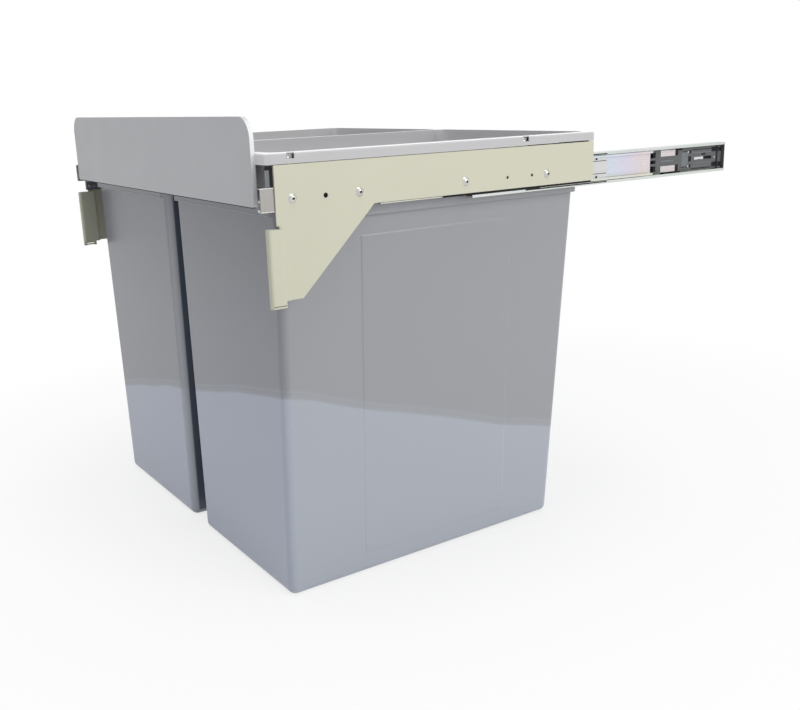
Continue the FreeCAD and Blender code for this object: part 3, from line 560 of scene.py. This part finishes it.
# %% Metal finishes
window_film = zinc("window_film", (0.66, 0.60, 0.62, 1), (0.68, 0.63, 0.62, 1), metallic=0.5)
middle_zinc = tinted_zinc("middle_rail_zinc", start=at(0, 420, 0).y, length=0.078,
                          lip_start=0.2790, foot_low=-0.0150, foot_high=-0.0080)
outer_zinc = tinted_zinc("outer_rail_zinc", start=at(0, 440, 0).y, length=0.085,
                         lip_start=0.2738, foot_low=-0.0115, foot_high=-0.0050)
drawer_zinc = zinc("drawer_rail_zinc", (0.27, 0.255, 0.245, 1), (0.35, 0.335, 0.32, 1), 0.36)
cage_zinc = zinc("cage_zinc", (0.56, 0.56, 0.57, 1), (0.66, 0.66, 0.65, 1), 0.34)
catch_zinc = zinc("catch_zinc", (0.62, 0.62, 0.62, 1), (0.72, 0.72, 0.71, 1), 0.28)
bright_steel = zinc("screw_bright_steel", (0.52, 0.52, 0.50, 1), (0.66, 0.66, 0.64, 1), 0.24, 40.0)
print("zinc finishes:", middle_zinc.name, outer_zinc.name, cage_zinc.name, bright_steel.name)

# %% [markdown]
# ### Dark moulded plastic
# The soft-close housings and end stops are glass-filled nylon: nearly black, matt, with a fine
# spark-eroded grain.

# %% Dark plastic
SPARK_GRAIN = 0.00002         # depth of the grain in metres
dark_plastic, tree, shader = finish("housing_dark_plastic")
speck = noise(tree, 400.0)
tree.links.new(mix_rgb(tree, speck, (0.085, 0.090, 0.095, 1), (0.115, 0.120, 0.125, 1)),
               shader.inputs["Base Color"])
tree.links.new(remap(tree, noise(tree, 120.0), 0.46, 0.58), shader.inputs["Roughness"])
bump(tree, shader, noise(tree, 2200.0), SPARK_GRAIN)
print("finish:", dark_plastic.name)

# %% [markdown]
# ### Recesses, ribs and beads
# A slot that is only a millimetre or two wide looks black, because no light comes back out of it.  A
# nearly black, dull finish on a thin block paints that shade without cutting the mesh.  The same
# helper makes the lighter ribs, the bead on the bins with its painted highlight and the blue-black
# strips.


# %% Small dark finishes
def plain_dark(name, low, high, rough):
    """Dark finish for recesses and raised ribs."""
    material, tree, shader = finish(name)
    tree.links.new(mix_rgb(tree, noise(tree, 300.0), low, high), shader.inputs["Base Color"])
    grain = remap(tree, noise(tree, 90.0), rough - 0.05, rough + 0.05)
    tree.links.new(grain, shader.inputs["Roughness"])
    shader.inputs["Specular IOR Level"].default_value = 0.25
    return material


# painted shade: black blocks stand for the dark inside slots, holes, recesses and seams
recess_black = plain_dark("recess_black", (0.006, 0.006, 0.007, 1), (0.012, 0.012, 0.013, 1), 0.7)
rib_grey = plain_dark("rib_grey", (0.16, 0.17, 0.175, 1), (0.21, 0.22, 0.225, 1), 0.5)
rim_bead = plain_dark("rim_bead", (0.42, 0.43, 0.45, 1), (0.50, 0.51, 0.53, 1), 0.35)
strip_blue = plain_dark("strip_blue", (0.10, 0.11, 0.14, 1), (0.13, 0.14, 0.17, 1), 0.45)
print("finishes:", recess_black.name, rib_grey.name, rim_bead.name, strip_blue.name)

# %% [markdown]
# ## Dressing the imported nodes
# Every node keeps its shape from the drawing and gets one of the finishes above.  One table names a
# finish for both sides.  The left drawer member alone gets the lighter zinc, as painted light: its end
# lies in the panel's shade and just shows beside the panel, against the white background.

# %% Assign finishes
FINISH_OF = {
    "top_frame": frame_coat, "front_panel": panel_coat, "front_panel_screws": bright_steel,
    "side_plate": plate_coat, "door_pocket": plate_coat, "plate_screws": bright_steel,
    "frame_rivets": bright_steel, "outer_slide_member": outer_zinc, "middle_slide_member": middle_zinc,
    "inner_slide_member": drawer_zinc, "inner_ball_cage": cage_zinc, "inner_balls": bright_steel,
    "outer_ball_cage": cage_zinc, "outer_balls": bright_steel, "soft_close_housing": dark_plastic,
    "soft_close_catch": catch_zinc, "soft_close_pins": bright_steel, "end_stop": dark_plastic,
    "waste_bin": bin_plastic,
}
for name, node in nodes.items():
    key = name.replace("right_", "").replace("left_", "")
    node.data.materials.clear()
    node.data.materials.append(FINISH_OF[key])
# painted light: lighter zinc on the left drawer member, which lies in shade
nodes["left_inner_slide_member"].data.materials[0] = catch_zinc
print("dressed:", len(nodes), "nodes")

# %% [markdown]
# ## Small details
# Slots, ribs, grooves and recesses are too fine for the drawing's solids.  They are thin blocks laid
# a tenth of a millimetre or so proud of the face that they belong to.  Every list below is for the
# right-hand side in carriage millimetres, and the helper makes the left-hand copy by changing the
# sign of X.

# %% Solid helper
SIDES = (("right", 1), ("left", -1))
RIGHT_ONLY = SIDES[:1]
PLATE_IN, PLATE_OUT, PLATE_FOOT = 278.5, 280.0, -42.5     # faces and lower edge of a side plate


def solid_from(bm, name, material, body):
    """Finish a bmesh as an object that moves with a body."""
    bmesh.ops.recalc_face_normals(bm, faces=bm.faces)
    mesh = bpy.data.meshes.new(name)
    bm.to_mesh(mesh)
    bm.free()
    mesh.materials.append(material)
    piece = bpy.data.objects.new(name, mesh)
    scene.collection.objects.link(piece)
    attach(piece, body)


print("solid helper ready")

# %% [markdown]
# ### Blocks
# Most details are blocks.  A bevel, where one is asked for, breaks their edges, because a real edge
# always catches a thin line of light.


# %% Block helper
def blocks(name, material, body, boxes, edge=0.0, sides=SIDES):
    """Blocks (x0, x1, y0, y1, z0, z1) on both sides, their edges broken by a bevel in millimetres."""
    for side, sign in sides:
        bm = bmesh.new()
        for x0, x1, y0, y1, z0, z1 in boxes:
            centre = at(sign * (x0 + x1) / 2, (y0 + y1) / 2, (z0 + z1) / 2)
            size = Vector((x1 - x0, y1 - y0, z1 - z0)) * MM
            place = Matrix.Translation(centre) @ Matrix.Diagonal(size).to_4x4()
            bmesh.ops.create_cube(bm, size=1.0, matrix=place)
        if edge:
            bmesh.ops.bevel(bm, geom=bm.edges[:], offset=edge * MM, segments=2, profile=0.5, affect="EDGES")
        solid_from(bm, side + "_" + name, material, body.format(side=side))
    print(name, "has", len(boxes), "blocks on each of", len(sides), "sides")


print("block helper ready")

# %% [markdown]
# ### Rounds
# Holes, washers and recesses are flat rounds or rings.  Their faces are made vertex by vertex, so one
# helper makes a plain disc, a ring with a hole and a six-sided recess.


# %% Round helper
def discs(name, material, body, x0, x1, places, radius, hole=0.0, corners=20):
    """Round plates or rings standing on faces that look sideways."""
    for side, sign in SIDES:
        bm = bmesh.new()
        for y, z in places:
            rings = []
            for x in (x0, x1):
                for r in ((radius, hole) if hole else (radius,)):
                    turn = [2 * math.pi * i / corners for i in range(corners)]
                    ring = [at(sign * x, y + r * math.cos(a), z + r * math.sin(a)) for a in turn]
                    rings.append([bm.verts.new(point) for point in ring])
            pairs = ((0, 2), (1, 3), (0, 1), (2, 3)) if hole else ((0, 1),)
            for a, b in pairs:
                for i in range(corners):
                    j = (i + 1) % corners
                    bm.faces.new((rings[a][i], rings[a][j], rings[b][j], rings[b][i]))
            if not hole:
                for ring in rings:
                    bm.faces.new(ring)
        solid_from(bm, side + "_" + name, material, body.format(side=side))
    print(name, "has", len(places), "rounds on each side")


print("round helper ready")

# %% [markdown]
# ### Raised panel on the bins
# Each bin's outer wall has a large raised rectangle, only half a millimetre proud.  Its sloping
# edges catch the light as faint lines.  The wall leans in towards its foot, so the rectangle's
# corners follow the wall, and three rings of vertices make its back, its foot and its raised face.

# %% Bin side panels
BIN_TOP = -8.7                # upper end of the leaning wall
WALL_TOP, WALL_LEAN = 260.2, 20.7
PANEL_PROUD, PANEL_SLOPE = 0.55, 1.6
PANEL_BACK, PANEL_FRONT = 297, 103
PANEL_FOOT, PANEL_HEAD = -424, -75


def wall_x(z):
    """Outer face of a bin's outer wall at a height."""
    return WALL_TOP - WALL_LEAN * (BIN_TOP - z) / (BIN_TOP - BIN_FOOT)


for side, sign in SIDES:
    bm = bmesh.new()
    loops = []
    for inset, proud in ((0.0, -0.10), (0.0, 0.0), (PANEL_SLOPE, PANEL_PROUD)):
        y0, y1 = PANEL_FRONT + inset, PANEL_BACK - inset
        z0, z1 = PANEL_FOOT + inset, PANEL_HEAD - inset
        loops.append([bm.verts.new(at(sign * (wall_x(z) + proud), y, z))
                      for y, z in ((y0, z0), (y1, z0), (y1, z1), (y0, z1))])
    for inner, outer in zip(loops, loops[1:]):
        for i in range(4):
            bm.faces.new((inner[i], inner[(i + 1) % 4], outer[(i + 1) % 4], outer[i]))
    bm.faces.new(loops[0])
    bm.faces.new(loops[-1])
    solid_from(bm, side + "_bin_side_panel", bin_plastic, side + "_bin")
print("raised panels:", PANEL_PROUD, "mm proud")

# %% [markdown]
# ### Bead under the collar
# The collar of each bin ends in a small moulded bead, which shows as a light line along the front; the
# bead's lighter grey is a painted highlight.

# %% Collar bead
blocks("collar_bead", rim_bead, "{side}_bin",
       [(20.0, 250.0, 7.25, 7.75, -48.9, -48.0)], 0.15)

# %% [markdown]
# ### Ball cages and the middle member
# The inner cage is a flat strip with two pressed grooves and two rows of round holes, drawn as thin
# black blocks and discs of painted shade.  The middle member has one small round dimple in its web.

# %% Cage details
CAGE_FACE = 273.6             # outer face of the inner cage
CAGE_START, CAGE_END = 169, 425.5
CAGE_HOLE_PITCH, CAGE_HOLE_LAST, CAGE_HOLES = 20, 409.5, 12
blocks("cage_grooves", recess_black, "{side}_inner_ball_row",
       [(CAGE_FACE, CAGE_FACE + 0.08, CAGE_START, CAGE_END, SLIDE_AXIS + z, SLIDE_AXIS + z + 0.7)
        for z in (7.2, -6.8)])
discs("cage_holes", recess_black, "{side}_inner_ball_row", CAGE_FACE, CAGE_FACE + 0.1,
      [(CAGE_HOLE_LAST - CAGE_HOLE_PITCH * i, SLIDE_AXIS + z)
       for i in range(CAGE_HOLES) for z in (10.0, -10.0)], 1.5)
discs("web_dimple", catch_zinc, "{side}_middle_rail", 272.8, 272.95, [(487, -30)], 2.2)

# %% [markdown]
# ### Soft-close housing
# The housing is an open moulding.  Its slots and gaps are black marks of painted shade, five ribs
# are lighter, and the rail's steel shows through two windows.  Each mark is given by where it starts
# and ends along the rail and in height.

# %% Housing details
HOUSING_FACE = 271.5          # outer face of the housing
MARK = 0.08                   # how far a mark stands proud of the face
HOUSING_GAPS = [(545.2, 549.6, -24.8, -17.0), (549.6, 556.5, -19.2, -16.5), (545.2, 549.6, -43.6, -35.4),
                (568.5, 573.2, -33.6, -27.4), (569.6, 573.0, -24.2, -20.4), (569.6, 572.8, -40.6, -37.2),
                (592.5, 600.0, -27.2, -25.0), (611.0, 619.8, -24.0, -18.6), (612.0, 619.8, -42.2, -36.6),
                (573.5, 610, -20.6, -19.8), (573.5, 610, -43.0, -42.2), (557.5, 568, -21.6, -21.0),
                (554.5, 568, -40.0, -39.4)]
HOUSING_RIBS = [(574, 612, -24.2, -23.3), (577, 612, -36.9, -36.0), (574, 611, -40.3, -39.3),
                (556, 567.5, -38.6, -22.4), (519, 541, -31.4, -29.6)]
blocks("housing_gaps", recess_black, "cabinet_rails",
       [(HOUSING_FACE, HOUSING_FACE + MARK, *mark) for mark in HOUSING_GAPS])
blocks("housing_throat", recess_black, "cabinet_rails",
       [(266.95, 270.8, 506.5, 509.9, -44.2, -16.8), (266.95, 271.6, 525.0, 554.5, -46.2, -43.6)], 0.2)
blocks("window_floors", window_film, "cabinet_rails",
       [(270.6, 271.1, 519.2, 544.9, z, z + 7.2) for z in (-24.9, -43.3)])
blocks("housing_ribs", rib_grey, "cabinet_rails",
       [(HOUSING_FACE, HOUSING_FACE + MARK, *mark) for mark in HOUSING_RIBS])

# %% [markdown]
# ### Catch slot, end stops and the outer cage
# The bottom of the catch's slot is painted black as shade, and so are two notches in each end stop.
# Of the outer ball cage only two dark lines of painted shade show, between the rail's lips and the
# middle member.

# %% Slot, stop and cage lines
blocks("catch_slot_floor", recess_black, "cabinet_rails",
       [(268.75, 268.85, 597.3, 610.5, -32.1, -28.9)])
blocks("end_stop_marks", recess_black, "cabinet_rails",
       [(273.4, 273.5, 621.2, 627.2, z0, z1) for z0, z1 in ((-24.0, -18.8), (-42.2, -36.8))])
blocks("outer_cage_lines", recess_black, "{side}_outer_ball_row",
       [(276.3, 276.42, 276.0, 433.5, z, z + 1.2) for z in (-16.5, -45.7)])

# %% [markdown]
# ### Front end of the drawer member
# The right drawer member reaches a little further forward than its plate, and is closed by a formed
# end with bright edges and two small tabs.  The left one is all but hidden behind the panel, so it
# keeps the drawing's plain end.

# %% Member end
MEMBER_FRONT, END_FRONT = -10.5, -14.0
blocks("member_end", drawer_zinc, "carriage",
       [(277.3, PLATE_IN, END_FRONT, MEMBER_FRONT, -41.35, -19.65)], 0.1, RIGHT_ONLY)
blocks("member_edges", bright_steel, "carriage",
       [(274.2, 278.6, END_FRONT - 0.1, 0.5, z, z + 0.65) for z in (-20.2, -41.45)], 0.1, RIGHT_ONLY)
blocks("front_tabs", bright_steel, "carriage",
       [(275.2, 277.25, -14.4, MEMBER_FRONT, -32.4, -30.2),
        (272.6, 277.25, -14.4, MEMBER_FRONT, -40.7, -38.6)], 0.15, RIGHT_ONLY)

# %% [markdown]
# ### Rail lips, rail ends and the catch
# A dark line runs along each lip of the cabinet member where the plate shades it.  A thin black cap
# closes the back end, and the bright floor of the catch shows in the housing's slot.  The lines stay
# clear of the plate, which passes them when the carriage is pushed in, and the cap leaves room for
# the drawer member.

# %% Rail details
LIP_FACE = 277.8              # outer face of the cabinet member's lips
LIP_LINE = 0.07
blocks("rail_lip_lines", recess_black, "cabinet_rails",
       [(LIP_FACE, LIP_FACE + LIP_LINE, 300.0, 422.0, z, z + 1.3) for z in (-15.7, -46.6)])
blocks("rail_end_caps", dark_plastic, "cabinet_rails",
       [(266.2, 277.6, 627.7, 628.4, -47.6, -13.4)], 0.1)
blocks("catch_floor", catch_zinc, "{side}_catch",
       [(269.2, 271.42, 584.4, 590.6, -31.9, -29.1)])

# %% [markdown]
# ### Screws and rivets
# The domed screws have a hexagonal recess, drawn as a black six-sided disc of painted shade.  In each
# notch of the skirt the round tip of a rivet shows in front of the grey sheet behind it.

# %% Screw recesses and rivet tips
SCREWS = [(y, SLIDE_AXIS) for y in (17.5, 89.5, 217.0, 328.0)]
NOTCHES = (18.0, 299.0)
TIP_RADIUS = 1.9
discs("screw_recesses", recess_black, "carriage", 281.1, 282.0, SCREWS, 1.1, corners=6)
for side, sign in SIDES:
    bm = bmesh.new()
    for y in NOTCHES:
        spot = Matrix.Translation(at(sign * 277.0, y - 1.6, 5.4))
        bmesh.ops.create_uvsphere(bm, u_segments=16, v_segments=10, radius=TIP_RADIUS * MM, matrix=spot)
    solid_from(bm, side + "_rivet_tips", bright_steel, "carriage")
print("rivet tips:", len(NOTCHES), "on each side")

# %% [markdown]
# ### Pocket fixings and notch backs
# Over each door pocket a dark strip with two bright washers lies on the plate's inner face.  Behind
# each notch of the skirt a small piece of grey sheet closes the view.

# %% Pocket fixings
blocks("pocket_strip", strip_blue, "carriage",
       [(PLATE_IN - 0.25, PLATE_IN, 1.5, 24.0, -54.5, -43.2)], 0.08)
blocks("notch_backs", frame_coat, "carriage",
       [(274.5, 276.2, y - 3.8, y + 3.8, 4.6, 8.6) for y in NOTCHES])
discs("pocket_washers", bright_steel, "carriage", PLATE_IN - 0.55, PLATE_IN - 0.25,
      [(4.6, -49.2), (11.4, -49.6)], 2.1, 0.8)

# %% [markdown]
# ### Dark seams
# Where two sheets lie close together the narrow gap between them is in deep shade, a black line.
# Thin black blocks of painted shade lie in these places: under the panel, between the panel and the
# right plate, under the plates, and where the frame's skirt parts from a plate towards the back.  The
# part that slides past the rails is thinner than the clearance there.

# %% Seams
blocks("panel_foot_gap", recess_black, "carriage", [(0.0, 257.0, -12.3, -8.3, -38.6, -37.85)])
blocks("front_cavity", recess_black, "carriage",
       [(278.05, 278.25, -8.0, -0.3, -4.0, -0.3), (278.05, 278.25, -3.6, -0.3, -19.4, -4.0)],
       0.0, RIGHT_ONLY)
blocks("cavity_wall", rib_grey, "carriage",
       [(277.92, 278.02, -8.0, -3.6, -18.6, -4.0)], 0.0, RIGHT_ONLY)
# where each length of the line starts and ends, and how low it reaches
UNDER_PLATE = [(110.0, 190.0, -43.1), (190.0, 222.0, -44.7), (222.0, 320.0, -45.2), (320.0, 396.0, -44.6)]
blocks("under_plate_gap", recess_black, "carriage",
       [(277.95, 278.45, y0, y1, foot, PLATE_FOOT) for y0, y1, foot in UNDER_PLATE])
# where each length of the line starts and ends, and how high it reaches
PLATE_SEAM = [(255.0, 300.0, 0.6), (300.0, 345.0, 0.95), (345.0, 390.0, 1.3)]
blocks("plate_seam", recess_black, "carriage",
       [(PLATE_OUT, PLATE_OUT + 0.06, y0, y1, 0.05, top) for y0, y1, top in PLATE_SEAM])
